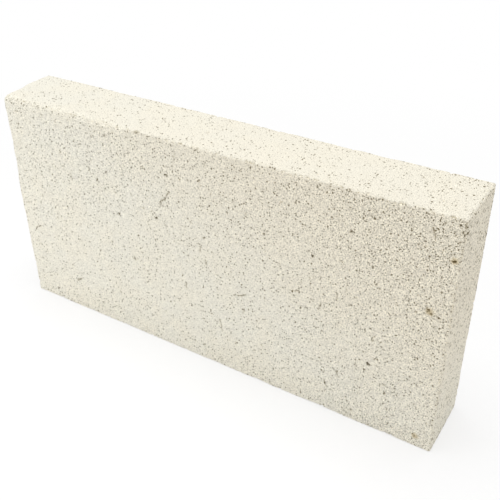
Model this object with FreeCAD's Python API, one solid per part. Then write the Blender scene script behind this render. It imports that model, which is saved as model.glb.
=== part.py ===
"""Insulating firebrick of split thickness: one block of porous fired clay, ground square on six faces.

It stands on one of its long narrow faces. +X runs along the length, +Y through the thickness from the
front bed face to the back one, and +Z up. The origin is the centre of the face that it stands on.
All sizes are in millimetres.
"""

import FreeCAD, Part
import os

# Driving dimensions of the block, the standard split of 9 by 4 1/2 by 1 1/4 inches
LENGTH = 228.6
HEIGHT = 114.3
THICKNESS = 31.75

# Rounding that grinding and handling leave on every arris and corner
ARRIS_RADIUS = 0.8

PARTS_FOLDER = "parts"
NODE = "firebrick"


def ground_block():
    """The sharp-edged block, extruded upwards from the outline of its base."""
    half_length = LENGTH / 2
    half_thickness = THICKNESS / 2
    base_corners = [
        FreeCAD.Vector(-half_length, -half_thickness, 0),
        FreeCAD.Vector(half_length, -half_thickness, 0),
        FreeCAD.Vector(half_length, half_thickness, 0),
        FreeCAD.Vector(-half_length, half_thickness, 0),
    ]
    outline = Part.makePolygon(base_corners + base_corners[:1])
    return Part.Face(outline).extrude(FreeCAD.Vector(0, 0, HEIGHT))


def eased(block):
    """The block with its twelve arrises rounded and its eight corners blended to the same radius."""
    return block.makeFillet(ARRIS_RADIUS, block.Edges)


def main():
    os.makedirs(PARTS_FOLDER, exist_ok=True)
    brick = eased(ground_block())
    brick.exportStep(os.path.join(PARTS_FOLDER, NODE + ".step"))
    box = brick.BoundBox
    print(f"{NODE}: {box.XLength:.2f} x {box.YLength:.2f} x {box.ZLength:.2f} mm")
    print(f"{len(brick.Solids)} solid, valid {brick.isValid()}, {brick.Volume / 1000:.1f} cm3")


main()
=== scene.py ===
"""The look of an insulating firebrick: porous fired clay with worn arrises, on a pale floor."""

import math

import bmesh
import bpy
from mathutils import Matrix, Vector


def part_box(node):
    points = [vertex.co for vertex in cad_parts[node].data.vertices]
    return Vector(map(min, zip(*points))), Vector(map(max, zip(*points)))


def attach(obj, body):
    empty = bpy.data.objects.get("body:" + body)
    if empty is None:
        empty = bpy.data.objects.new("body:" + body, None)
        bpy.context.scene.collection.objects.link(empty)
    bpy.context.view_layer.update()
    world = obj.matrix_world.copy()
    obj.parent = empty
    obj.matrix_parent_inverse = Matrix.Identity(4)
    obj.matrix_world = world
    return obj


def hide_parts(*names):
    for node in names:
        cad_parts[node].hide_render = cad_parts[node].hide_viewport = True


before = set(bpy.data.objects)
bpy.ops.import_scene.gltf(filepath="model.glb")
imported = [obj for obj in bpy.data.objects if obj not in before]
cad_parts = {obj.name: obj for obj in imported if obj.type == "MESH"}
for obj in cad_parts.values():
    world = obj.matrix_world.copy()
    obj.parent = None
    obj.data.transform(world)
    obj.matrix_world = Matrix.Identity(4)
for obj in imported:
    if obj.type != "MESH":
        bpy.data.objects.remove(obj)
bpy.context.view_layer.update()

# Lengths below are in millimetres, and Blender's are in metres
MM = 0.001

# The block as the frame gives it
NODE = "firebrick"
LOW, HIGH = (Vector(corner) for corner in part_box(NODE))
SIZE = (HIGH - LOW) / MM
LOW_MM = LOW / MM
HIGH_MM = HIGH / MM

# How finely the relief is carved, and how many triangles carry it in the end
CELL = 5.0
HALVINGS = 4
TRIANGLES = 190_000

# The vertex group of what may be thinned, which is all but the marked pores
THINNED = "thinned"

# Rounding of the arrises: all along, and how much more where handling wore them and where one is rubbed
ARRIS_RADIUS = 0.8
ARRIS_WEAR = 0.9
RUBBED_WEAR = 2.8

# Crumbs broken off beside the arrises: how far from the arris they reach and how deep they go
CRUMB_REACH = 2.6
CRUMB_DEPTH = 0.7

# The camera that took in the whole brick from the right and above
FRAME_PIXELS = 500
FOCAL_PIXELS = 748.5
SENSOR_WIDTH = 36.0
CAMERA_PLACE = Vector((169.0, -239.3, 246.0))
CAMERA_AZIMUTH = math.radians(32.66)
CAMERA_ELEVATION = math.radians(33.14)
CAMERA_ROLL = math.radians(-0.95)

# Pores that show on the front face: distance along from its middle, height, half width
FRONT_PORES = [
    (-109.5, 57.0, 0.5), (-90.0, 53.7, 0.5), (-67.0, 56.5, 0.45), (-52.0, 89.3, 0.5), (-47.0, 68.5, 0.6),
    (-36.5, 59.8, 0.6), (-52.3, 21.0, 0.65), (-99.0, 6.0, 0.6), (-71.0, 1.5, 0.65), (-24.3, 73.2, 0.65),
    (0.6, 98.9, 0.6), (-32.3, 39.3, 0.5), (-6.2, 68.2, 0.5), (1.7, 71.0, 0.55), (-7.0, 8.9, 0.5),
    (-1.2, 8.9, 0.5), (-7.5, 58.5, 0.5), (32.8, 82.9, 0.65), (-20.4, 27.6, 0.5), (82.9, 35.3, 0.9),
    (111.8, 96.3, 0.65), (71.3, 96.4, 0.65), (55.7, 79.7, 0.7), (56.2, 111.3, 0.6), (77.1, 5.7, 0.5),
    (106.7, 5.5, 0.5), (108.0, 30.2, 0.45), (110.9, 27.2, 0.5), (84.6, 50.5, 0.55), (85.9, 39.3, 0.5),
    (80.5, 41.1, 0.45), (111.9, 111.6, 0.55), (113.0, 108.8, 0.5), (-31.8, 113.2, 0.55),
    (106.3, 110.8, 0.45),
    (40.7, 100.3, 0.5), (37.9, 108.0, 0.45), (47.4, 101.8, 0.5),
    (60.5, 109.9, 0.45), (-109.1, 112.2, 0.5), (-110.1, 108.4, 0.45), (104.8, 72.3, 0.65),
    (106.1, 70.8, 0.55), (109.3, 70.2, 0.5),
]

# Fissures that show on the front face: points along each one, as distance along and height
FRONT_FISSURES = [
    [(-75.4, 82.5), (-75.1, 80.3), (-74.7, 78.8)],
    [(-62.9, 89.2), (-62.5, 87.8), (-62.0, 86.5)],
    [(-107.6, 41.5), (-106.0, 43.4), (-103.6, 44.4)],
    [(-83.0, 17.0), (-80.6, 18.6), (-78.4, 20.4)],
    [(-21.3, 80.2), (-21.2, 82.6), (-18.4, 85.0), (-17.0, 87.2), (-15.6, 89.0)],
    [(-10.1, 42.6), (-9.9, 39.4)],
    [(17.4, 46.0), (19.4, 46.0), (21.2, 46.8), (23.0, 47.8)],
    [(22.0, 39.8), (21.5, 36.6)],
    [(8.4, 28.2), (8.9, 25.4), (9.7, 22.4)],
    [(-0.6, 65.4), (-0.8, 63.0)],
    [(2.0, 59.0), (2.2, 56.2)],
    [(104.2, 73.2), (105.2, 71.6), (106.4, 70.4)],
    [(108.4, 70.6), (109.9, 70.0)],
    [(102.4, 107.6), (102.9, 106.0), (103.7, 104.2)],
    [(60.0, 57.2), (59.2, 54.6)],
    [(46.6, 59.2), (48.4, 59.9), (50.4, 60.3)],
    [(67.0, 66.0), (67.3, 63.4)],
    [(67.4, 25.4), (68.8, 24.2), (69.8, 22.0)],
    [(63.4, 17.0), (64.0, 15.2), (64.8, 13.8)],
    [(84.4, 77.8), (83.2, 75.8)],
    [(111.2, 104.3), (112.4, 104.7), (113.5, 105.3)],
]
FISSURE_HALF_WIDTH = 0.44

# Brown stains round pores of the front face: distance along, height, radius
FRONT_STAINS = [(105.6, 71.6, 2.6), (107.0, 6.0, 2.2), (111.8, 96.8, 2.2)]

# Chips broken from the upper front arris: distance along, radius
UPPER_CHIPS = [
    (-31.0, 1.2), (-8.0, 0.9), (27.0, 1.1), (52.0, 0.7), (66.0, 0.8), (90.0, 1.0), (97.0, 0.8), (109.0, 0.9),
]

# Chips broken from the right front arris: height, radius
RIGHT_CHIPS = [(111.5, 1.0), (71.0, 0.8), (30.0, 0.8)]

# Colours of the clay: its two kinds of patches, a warmer and darker tone towards the upper right corner that
# is painted warm shade, the stains, and a deep brown that is painted shade in the pores and crumb gaps
PALE_CLAY = (0.810, 0.783, 0.686, 1)
CREAM_CLAY = (0.824, 0.788, 0.678, 1)
WARM_SHADE_CLAY = (0.825, 0.767, 0.636, 1)
STAIN_BROWN = (0.52, 0.38, 0.13, 1)
PORE_SHADE_BROWN = (0.115, 0.08, 0.012, 1)

# The sharpest turn between two faces that is still shaded smooth
SMOOTH_ANGLE = math.radians(40)

# The stage: what the floor reflects, how much of the light comes from all around, and plain white
FLOOR_GREY = (0.95, 0.95, 0.95, 1)
AROUND_STRENGTH = 0.57
WHITE = (1, 1, 1, 1)


class NodeBench:
    """Puts nodes into one tree and wires them. A value is either a number or another node's socket."""

    def __init__(self, tree):
        self.tree = tree

    def put(self, kind, inputs=None, **settings):
        node = self.tree.nodes.new(kind)
        for name, value in settings.items():
            setattr(node, name, value)
        for key, value in (inputs or {}).items():
            self.feed(node.inputs[key], value)
        return node

    def feed(self, socket, value):
        if isinstance(value, bpy.types.NodeSocket):
            self.tree.links.new(value, socket)
        else:
            socket.default_value = value

    def math(self, operation, *values, clamp=False):
        node = self.put("ShaderNodeMath", dict(enumerate(values)), operation=operation, use_clamp=clamp)
        return node.outputs[0]

    def vector(self, operation, *values):
        node = self.put("ShaderNodeVectorMath", dict(enumerate(values)), operation=operation)
        return node.outputs[0]

    def scaled(self, vector, factor):
        node = self.put("ShaderNodeVectorMath", {"Vector": vector, "Scale": factor}, operation="SCALE")
        return node.outputs[0]

    def ramp(self, value, start, end, low=0.0, high=1.0):
        """Goes smoothly from low to high while value goes from start to end."""
        settings = dict(enumerate((value, start, end, low, high)))
        return self.put("ShaderNodeMapRange", settings, interpolation_type="SMOOTHSTEP").outputs[0]

    def split(self, vector):
        return self.put("ShaderNodeSeparateXYZ", {0: vector}).outputs

    def noise(self, where, size, detail=2.0, output="Fac"):
        inputs = {"Vector": where, "Scale": 1 / size, "Detail": detail}
        return self.put("ShaderNodeTexNoise", inputs).outputs[output]

    def cells(self, where, size, feature="F1"):
        inputs = {"Vector": where, "Scale": 1 / size}
        return self.put("ShaderNodeTexVoronoi", inputs, feature=feature).outputs

    def strayed(self, where, size, reach):
        """The place moved by up to about reach, by a noise of that size, so that forms turn uneven."""
        stray = self.vector("SUBTRACT", self.noise(where, size, output="Color"), (0.5, 0.5, 0.5))
        return self.vector("ADD", where, self.scaled(stray, 2 * reach))

    def mixed(self, factor, one, other, blend="MIX"):
        """One colour blended with another."""
        node = self.put("ShaderNodeMix", data_type="RGBA", blend_type=blend)
        for index, value in ((0, factor), (6, one), (7, other)):
            self.feed(node.inputs[index], value)
        return node.outputs[2]

    def greatest(self, *values):
        total = values[0]
        for value in values[1:]:
            total = self.math("MAXIMUM", total, value)
        return total


def select_only(piece):
    bpy.ops.object.select_all(action="DESELECT")
    piece.select_set(True)
    bpy.context.view_layer.objects.active = piece


def marked_out_block():
    """The sharp block in its place, each face cut into cells of about CELL and numbered by its side."""
    bpy.ops.object.select_all(action="DESELECT")
    bpy.ops.mesh.primitive_cube_add(size=1)
    block = bpy.context.object
    block.name = block.data.name = "porous_brick"
    bpy.ops.object.mode_set(mode="EDIT")
    bpy.ops.transform.resize(value=SIZE * MM)
    bpy.ops.transform.translate(value=(LOW + HIGH) / 2)
    bpy.ops.mesh.select_mode(type="EDGE")
    for axis in range(3):
        mesh = bmesh.from_edit_mesh(block.data)
        for edge in mesh.edges:
            way = (edge.verts[1].co - edge.verts[0].co).normalized()
            edge.select_set(abs(way[axis]) > 0.9)
        mesh.select_flush_mode()
        bmesh.update_edit_mesh(block.data)
        bpy.ops.mesh.subdivide(number_cuts=round(SIZE[axis] / CELL) - 1)
    bpy.ops.object.mode_set(mode="OBJECT")
    side = block.data.attributes.new("side", "INT", "FACE")
    for face, mark in zip(block.data.polygons, side.data):
        axis = max(range(3), key=lambda k: abs(face.normal[k]))
        mark.value = 2 * axis + (face.normal[axis] > 0)
    return block


def strokes_of_pores():
    """The pores and fissures seen on the front face, each as the points along it and its half width."""
    y = LOW_MM.y
    pores = [([(along - 0.15, y, height - 0.1), (along + 0.15, y, height + 0.1)], half_width)
             for along, height, half_width in FRONT_PORES]
    fissures = [([(along, y, height) for along, height in route], FISSURE_HALF_WIDTH)
                for route in FRONT_FISSURES]
    return pores + fissures


def strokes_of_chips():
    """The chips seen along the front arrises, each as two points on the arris and its radius."""
    x, y, z = HIGH_MM.x, LOW_MM.y, HIGH_MM.z
    upper = [([(along - 0.3, y, z), (along + 0.3, y, z)], radius) for along, radius in UPPER_CHIPS]
    right = [([(x, y, height - 0.3), (x, y, height + 0.3)], radius) for height, radius in RIGHT_CHIPS]
    return upper + right


def marks(name, strokes):
    """A helper mesh with the edges of the strokes, each with its half width."""
    points, edges, widths = [], [], []
    for route, half_width in strokes:
        first = len(points)
        points += route
        edges += [(k, k + 1) for k in range(first, len(points) - 1)]
        widths += [half_width] * (len(route) - 1)
    mesh = bpy.data.meshes.new(name)
    mesh.from_pydata(points, edges, [])
    mesh.attributes.new("half_width", "FLOAT", "EDGE").data.foreach_set("value", widths)
    helper = bpy.data.objects.new(name, mesh)
    bpy.context.collection.objects.link(helper)
    return helper


def arris_distance(bench, place):
    """How far a point is from the nearest arris: the second smallest of its depths below the faces."""
    middle, half = (LOW_MM + HIGH_MM) / 2, SIZE / 2
    from_middle = bench.vector("ABSOLUTE", bench.vector("SUBTRACT", place, tuple(middle)))
    x, y, z = bench.split(bench.vector("SUBTRACT", tuple(half), from_middle))
    low = bench.math("MINIMUM", x, y)
    high = bench.math("MAXIMUM", x, y)
    return bench.math("MAXIMUM", low, bench.math("MINIMUM", high, z))


def arris_radius(bench, place):
    """The rounding that each stretch of arris has: worn here and there, and most on the upper left one."""
    worn = bench.ramp(bench.noise(place, 22.0), 0.48, 0.68, 0.0, ARRIS_WEAR)
    x, y, z = bench.split(place)
    stretch = bench.ramp(x, -20, -60)
    upper = bench.math("MULTIPLY", bench.ramp(z, 60, 90), bench.ramp(y, 2, -4))
    uneven = bench.ramp(bench.noise(place, 7.0), 0.3, 0.7, 0.65 * RUBBED_WEAR, RUBBED_WEAR)
    rubbed = bench.math("MULTIPLY", bench.math("MULTIPLY", stretch, upper), uneven)
    total = bench.math("ADD", worn, rubbed)
    return bench.math("ADD", total, ARRIS_RADIUS)


def broken_crumbs(bench, place):
    """How deep the arrises are broken where crumbs fell off."""
    beside = bench.ramp(arris_distance(bench, place), CRUMB_REACH, 0.4)
    crumbs = bench.ramp(bench.noise(place, 1.6, detail=2.5), 0.50, 0.70, 0.0, CRUMB_DEPTH)
    return bench.math("MULTIPLY", beside, crumbs)


def openness(bench, skin):
    """From 0, a closed rubbed skin, to 1, open crumbly clay.

    It comes in patches, with more at the right, high up and at the foot, and less on the top and right end.
    """
    x, _, z = bench.split(skin)
    patches = bench.ramp(bench.noise(skin, 30.0), 0.30, 0.70, 0.0, 0.15)
    right = bench.ramp(x, 10, 105, 0.0, 0.6)
    upper = bench.ramp(z, 45, 110, 0.0, 0.35)
    foot = bench.ramp(z, 14, 2, 0.0, 0.25)
    rubbed_top = bench.ramp(z, 113.0, 114.0, 0.0, -0.8)
    right_end = bench.ramp(x, 113.6, 114.2, 0.0, -0.35)
    total = bench.math("ADD", patches, right)
    total = bench.math("ADD", total, right_end)
    total = bench.math("ADD", total, upper)
    total = bench.math("ADD", total, foot)
    return bench.math("ADD", total, rubbed_top, clamp=True)


def opened_pits(bench, skin, open_clay):
    """How deep the uneven pits go where the clay is missing between its larger crumbs."""
    crumbs = bench.noise(skin, 1.1, detail=2.5)
    level = bench.math("MULTIPLY_ADD", open_clay, 0.035, 0.31)
    return bench.ramp(bench.math("SUBTRACT", level, crumbs), 0.0, 0.12, 0.0, 0.55)


def crumb_place(bench, skin):
    """The place where the fine crumbs are read, drawn together on the ends, whose crumbs are coarser."""
    from_middle = bench.math("ABSOLUTE", bench.split(skin)[0])
    on_end = bench.math("GREATER_THAN", from_middle, HIGH_MM.x - 0.2)
    return bench.scaled(skin, bench.math("MULTIPLY_ADD", on_end, -0.2, 1.0))


def crumb_gaps(bench, skin, open_clay):
    """From 0 on a crumb of the clay to 1 in the fine gaps between crumbs, loosely gathered."""
    crumbs = bench.noise(crumb_place(bench, skin), 0.55, detail=1.0)
    gathered = bench.math("MULTIPLY", bench.math("SUBTRACT", bench.noise(skin, 5.0), 0.5), 0.08)
    level = bench.math("MULTIPLY_ADD", open_clay, 0.065, bench.math("ADD", gathered, 0.31))
    return bench.ramp(bench.math("SUBTRACT", level, crumbs), 0.0, 0.05)


def bowl(bench, distance, radius):
    """The depth of a round pit at a distance from its middle."""
    left = bench.math("SUBTRACT", bench.math("POWER", radius, 2.0), bench.math("POWER", distance, 2.0))
    return bench.math("SQRT", bench.math("MAXIMUM", left, 0.0))


def scattered_pores(bench, place, cell, smallest, largest, share):
    """How deep round pores go at each point, with at most one pore in each cell."""
    cells = bench.cells(place, cell)
    chance, size, _ = bench.split(cells["Color"])
    distance = bench.math("MULTIPLY", cells["Distance"], cell)
    radius = bench.math("MULTIPLY_ADD", size, largest - smallest, smallest)
    radius = bench.math("MULTIPLY", radius, bench.math("LESS_THAN", chance, share))
    return bowl(bench, distance, radius)


def large_pores(bench, skin):
    """How deep the few larger round pores go."""
    return scattered_pores(bench, bench.strayed(skin, 1.2, 0.5), 6.0, 0.35, 0.6, 0.15)


def small_pores(bench, skin, open_clay):
    """From 0 to 1 in the small round pores, more of them where the clay is open."""
    share = bench.math("MULTIPLY_ADD", open_clay, 0.05, 0.26)
    uneven = bench.strayed(crumb_place(bench, skin), 0.7, 0.5)
    return bench.ramp(scattered_pores(bench, uneven, 1.1, 0.18, 0.41, share), 0.0, 0.15)


def scattered_fissures(bench, skin):
    """How deep short hairline fissures go: stretches of the walls between large uneven cells."""
    uneven = bench.strayed(bench.strayed(skin, 5.0, 2.5), 1.3, 0.6)
    wall = bench.math("MULTIPLY", bench.cells(uneven, 8.0, "DISTANCE_TO_EDGE")["Distance"], 8.0)
    stretch = bench.ramp(bench.noise(skin, 2.6, detail=1.0), 0.64, 0.76)
    half_width = bench.math("MULTIPLY", stretch, 0.45)
    return bowl(bench, wall, half_width)


def marked_bowls(bench, place, helper):
    """How deep the marked strokes of a helper mesh are cut at each point."""
    lines = bench.put("GeometryNodeObjectInfo", {"Object": helper}).outputs["Geometry"]
    uneven = bench.strayed(place, 1.2, 0.5)
    near = bench.put("GeometryNodeProximity", {"Geometry": lines, "Sample Position": uneven},
                     target_element="EDGES")
    nearest = bench.put("GeometryNodeSampleNearest", {"Geometry": lines, "Sample Position": uneven},
                        domain="EDGE")
    width = bench.put("GeometryNodeInputNamedAttribute", {"Name": "half_width"}, data_type="FLOAT")
    sampled = bench.put("GeometryNodeSampleIndex", data_type="FLOAT", domain="EDGE")
    bench.feed(sampled.inputs["Geometry"], lines)
    bench.feed(sampled.inputs["Value"], width.outputs[0])
    bench.feed(sampled.inputs["Index"], nearest.outputs[0])
    pinched = bench.ramp(bench.noise(place, 0.9), 0.35, 0.6, 0.6, 1.15)
    return bowl(bench, near.outputs["Distance"], bench.math("MULTIPLY", sampled.outputs[0], pinched))


def geometry_tree(name):
    """An empty tree of geometry nodes with its own bench, and the geometry that comes in."""
    tree = bpy.data.node_groups.new(name, "GeometryNodeTree")
    tree.interface.new_socket("Geometry", in_out="INPUT", socket_type="NodeSocketGeometry")
    tree.interface.new_socket("Geometry", in_out="OUTPUT", socket_type="NodeSocketGeometry")
    bench = NodeBench(tree)
    return tree, bench, bench.put("NodeGroupInput").outputs[0]


def relief(pores, chips):
    """The geometry nodes that round the arrises of the sharp block, break them and carve the pores."""
    tree, bench, block = geometry_tree("brick relief")
    sharp = bench.scaled(bench.put("GeometryNodeInputPosition").outputs[0], 1 / MM)

    radius = arris_radius(bench, sharp)
    inner = bench.vector("MAXIMUM", sharp, bench.vector("ADD", tuple(LOW_MM), radius))
    inner = bench.vector("MINIMUM", inner, bench.vector("SUBTRACT", tuple(HIGH_MM), radius))
    outward = bench.vector("NORMALIZE", bench.vector("SUBTRACT", sharp, inner))
    skin = bench.vector("ADD", inner, bench.scaled(outward, radius))

    open_clay = openness(bench, skin)
    marked = marked_bowls(bench, skin, pores)
    pit = bench.greatest(
        opened_pits(bench, skin, open_clay),
        large_pores(bench, skin),
        scattered_fissures(bench, skin),
        marked,
    )
    broken = bench.greatest(broken_crumbs(bench, sharp), marked_bowls(bench, sharp, chips))
    depth = bench.math("MULTIPLY_ADD", pit, 1.2, broken)
    carved = bench.vector("SUBTRACT", skin, bench.scaled(outward, depth))

    thinned = bench.math("LESS_THAN", marked, 0.05)
    stored = [("skin", skin, "FLOAT_VECTOR"), ("pit", pit, "FLOAT"), (THINNED, thinned, "FLOAT")]
    for name, value, kind in stored:
        kept = bench.put("GeometryNodeStoreNamedAttribute", data_type=kind)
        bench.feed(kept.inputs["Geometry"], block)
        bench.feed(kept.inputs["Name"], name)
        bench.feed(kept.inputs["Value"], value)
        block = kept.outputs[0]
    moved = bench.put("GeometryNodeSetPosition", {"Geometry": block, "Position": bench.scaled(carved, MM)})
    bench.put("NodeGroupOutput", {0: moved.outputs[0]})
    return tree


def kept_inside():
    """The geometry nodes that push back what thinning the mesh left a hair outside the block."""
    tree, bench, block = geometry_tree("kept inside the block")
    place = bench.put("GeometryNodeInputPosition").outputs[0]
    place = bench.vector("MINIMUM", bench.vector("MAXIMUM", place, tuple(LOW)), tuple(HIGH))
    moved = bench.put("GeometryNodeSetPosition", {"Geometry": block, "Position": place})
    bench.put("NodeGroupOutput", {0: moved.outputs[0]})
    return tree


def apply_modifier(piece, kind, **settings):
    select_only(piece)
    modifier = piece.modifiers.new(kind.lower(), kind)
    for name, value in settings.items():
        setattr(modifier, name, value)
    bpy.ops.object.modifier_apply(modifier=modifier.name)


def lay_out_faces(piece):
    """The map for a flat picture of the brick: its six faces as strips, one above the other."""
    length, thickness, height = SIZE
    total = 2 * height + 3 * thickness
    # For each side: the axes that run across and up the picture, and the strip's left and lower corner
    strips = {
        2: (0, 2, 0.0, 0.0),
        3: (0, 2, 0.0, height),
        4: (0, 1, 0.0, 2 * height),
        5: (0, 1, 0.0, 2 * height + thickness),
        0: (2, 1, 0.0, 2 * height + 2 * thickness),
        1: (2, 1, length / 2, 2 * height + 2 * thickness),
    }
    mesh = piece.data
    layer = mesh.uv_layers.new(name="OFBake")
    sides = mesh.attributes["side"].data
    for face in mesh.polygons:
        across, up, left, lower = strips[sides[face.index].value]
        for corner in face.loop_indices:
            place = mesh.vertices[mesh.loops[corner].vertex_index].co / MM - LOW_MM
            layer.data[corner].uv = ((left + place[across]) / length, (lower + place[up]) / total)


def stained(bench, skin):
    """From 0 to 1 in the uneven brown stains of the front face."""
    uneven = bench.strayed(skin, 1.2, 1.0)
    stains = []
    for along, height, radius in FRONT_STAINS:
        middle = (along, LOW_MM.y, height)
        apart = bench.put("ShaderNodeVectorMath", {0: uneven, 1: middle}, operation="DISTANCE")
        stains.append(bench.ramp(apart.outputs["Value"], radius, 0.3 * radius))
    return bench.greatest(*stains)


def fired_clay():
    """Off-white fired clay: a cream skin with paler and browner patches, grainy, with painted warm shade
    towards the upper right corner and painted shade in its pores and crumb gaps.
    """
    material = bpy.data.materials.new("fired clay")
    material.use_nodes = True
    bench = NodeBench(material.node_tree)
    shader = material.node_tree.nodes["Principled BSDF"]
    shader.inputs["Specular IOR Level"].default_value = 0.2
    shader.inputs["Roughness"].default_value = 0.95

    skin = bench.put("ShaderNodeAttribute", attribute_name="skin").outputs["Vector"]
    pit = bench.put("ShaderNodeAttribute", attribute_name="pit").outputs["Fac"]
    open_clay = openness(bench, skin)
    gaps = crumb_gaps(bench, skin, open_clay)
    small = small_pores(bench, skin, open_clay)
    # Painted shade: the pits, small pores and crumb gaps are darkened in the colour to a deep brown that
    # stands in for the shade inside them, over the real shade of the carved pits
    in_pit = bench.ramp(pit, 0.15, 0.6, 0.0, 0.8)
    painted_pore_shade = bench.greatest(in_pit, bench.math("MULTIPLY", small, 0.92), gaps)

    patches = bench.noise(skin, 18.0, detail=3.0)
    clay = bench.mixed(bench.ramp(patches, 0.35, 0.65), PALE_CLAY, CREAM_CLAY)
    x, _, z = bench.split(skin)
    # Painted warm shade: the side faces turn warmer and darker towards the upper right corner, and less so
    # on the top face, standing in for how the light falls there
    towards_corner = bench.ramp(bench.math("MULTIPLY_ADD", z, 1.6, x), 60, 250)
    less_on_top = bench.ramp(z, HIGH_MM.z - 1.0, HIGH_MM.z - 0.2, 1.0, 0.4)
    warm_shade = bench.mixed(bench.math("MULTIPLY", towards_corner, less_on_top), clay, WARM_SHADE_CLAY)
    grain = bench.math("SUBTRACT", bench.noise(crumb_place(bench, skin), 0.45, detail=1.0), 0.5)
    contrast = bench.math("MULTIPLY_ADD", open_clay, 0.8, 0.9)
    shade = bench.math("MULTIPLY_ADD", grain, contrast, 1.0)
    dusted = bench.mixed(1.0, warm_shade, shade, "MULTIPLY")
    browned = bench.mixed(bench.math("MULTIPLY", stained(bench, skin), 0.45), dusted, STAIN_BROWN)
    # Painted shade in the pits, small pores and crumb gaps
    colour = bench.mixed(painted_pore_shade, browned, PORE_SHADE_BROWN)
    bench.feed(shader.inputs["Base Color"], colour)

    height = bench.math("SUBTRACT", bench.math("MULTIPLY", grain, 0.6), bench.greatest(small, gaps))
    bump = bench.put("ShaderNodeBump", {"Strength": 0.7, "Distance": 0.25 * MM, "Height": height})
    bench.feed(shader.inputs["Normal"], bump.outputs[0])
    return material


def make_brick():
    block = marked_out_block()
    pores = marks("pore_marks", strokes_of_pores())
    chips = marks("chip_marks", strokes_of_chips())
    block.vertex_groups.new(name=THINNED)
    apply_modifier(block, "SUBSURF", subdivision_type="SIMPLE", levels=HALVINGS, render_levels=HALVINGS)
    apply_modifier(block, "NODES", node_group=relief(pores, chips))
    bpy.data.objects.remove(pores)
    bpy.data.objects.remove(chips)
    have = 2 * len(block.data.polygons)
    apply_modifier(block, "DECIMATE", ratio=TRIANGLES / have, vertex_group=THINNED,
                   use_collapse_triangulate=True)
    apply_modifier(block, "NODES", node_group=kept_inside())
    lay_out_faces(block)
    select_only(block)
    bpy.ops.object.shade_smooth_by_angle(angle=SMOOTH_ANGLE)
    block.data.materials.clear()
    block.data.materials.append(fired_clay())
    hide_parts(NODE)
    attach(block, "root")
    return block


def place_camera():
    az, el = CAMERA_AZIMUTH, CAMERA_ELEVATION
    back = Vector((math.sin(az) * math.cos(el), -math.cos(az) * math.cos(el), math.sin(el)))
    right = Vector((math.cos(az), math.sin(az), 0))
    turn = Matrix((right, back.cross(right), back)).transposed() @ Matrix.Rotation(CAMERA_ROLL, 3, "Z")
    bpy.ops.object.camera_add(location=CAMERA_PLACE * MM, rotation=turn.to_euler())
    camera = bpy.context.object
    camera.data.sensor_width = SENSOR_WIDTH
    camera.data.lens = FOCAL_PIXELS / FRAME_PIXELS * SENSOR_WIDTH
    camera.data.clip_start = 10 * MM
    bpy.context.scene.camera = camera


def seen_directly(bench):
    """1 for what the camera sees, also in a mirror or through glass, and 0 for light on the object."""
    path = bench.put("ShaderNodeLightPath").outputs
    return bench.greatest(path["Is Camera Ray"], path["Is Glossy Ray"], path["Is Transmission Ray"])


def lay_floor():
    bpy.ops.mesh.primitive_plane_add(size=8000 * MM)
    floor = bpy.context.object
    floor.name = "floor"
    material = bpy.data.materials.new("pale floor")
    material.use_nodes = True
    bench = NodeBench(material.node_tree)
    material.node_tree.nodes.clear()
    matt = bench.put("ShaderNodeBsdfDiffuse", {"Color": FLOOR_GREY})
    white = bench.put("ShaderNodeEmission", {"Color": WHITE, "Strength": 1.0})
    away = bench.put("ShaderNodeVectorMath", {0: bench.put("ShaderNodeTexCoord").outputs["Object"]},
                     operation="LENGTH").outputs["Value"]
    far = bench.math("MULTIPLY", bench.ramp(away, 100 * MM, 400 * MM, 0.62, 1.0), seen_directly(bench))
    mixed = bench.put("ShaderNodeMixShader", {0: far, 1: matt.outputs[0], 2: white.outputs[0]})
    bench.put("ShaderNodeOutputMaterial", {"Surface": mixed.outputs[0]})
    floor.data.materials.append(material)


def aim(place, target):
    """The turn that makes a lamp at a place shine at a target."""
    return (place - target).to_track_quat("Z", "Y").to_euler()


def add_softbox(name, place, target, width, power):
    place, target = Vector(place) * MM, Vector(target) * MM
    bpy.ops.object.light_add(type="AREA", location=place, rotation=aim(place, target))
    lamp = bpy.context.object
    lamp.name = name
    lamp.data.shape = "SQUARE"
    lamp.data.size = width * MM
    lamp.data.energy = power


def light_scene():
    world = bpy.data.worlds.new("studio")
    bpy.context.scene.world = world
    world.use_nodes = True
    bench = NodeBench(world.node_tree)
    world.node_tree.nodes.clear()
    around = bench.put("ShaderNodeBackground", {"Color": WHITE, "Strength": AROUND_STRENGTH})
    white = bench.put("ShaderNodeBackground", {"Color": WHITE, "Strength": 1.0})
    mixed = bench.put("ShaderNodeMixShader", {0: seen_directly(bench), 1: around.outputs[0],
                                              2: white.outputs[0]})
    bench.put("ShaderNodeOutputWorld", {"Surface": mixed.outputs[0]})
    add_softbox("overhead", (0, 0, 1000), (0, 0, 100), 600, 5.12)
    add_softbox("left", (-260, -300, 150), (-90, 0, 50), 200, 0.30)
    add_softbox("right fill", (650, -180, 100), (0, 0, 50), 400, 0.38)


make_brick()
lay_floor()
light_scene()
place_camera()
bpy.context.scene.view_settings.view_transform = "Standard"
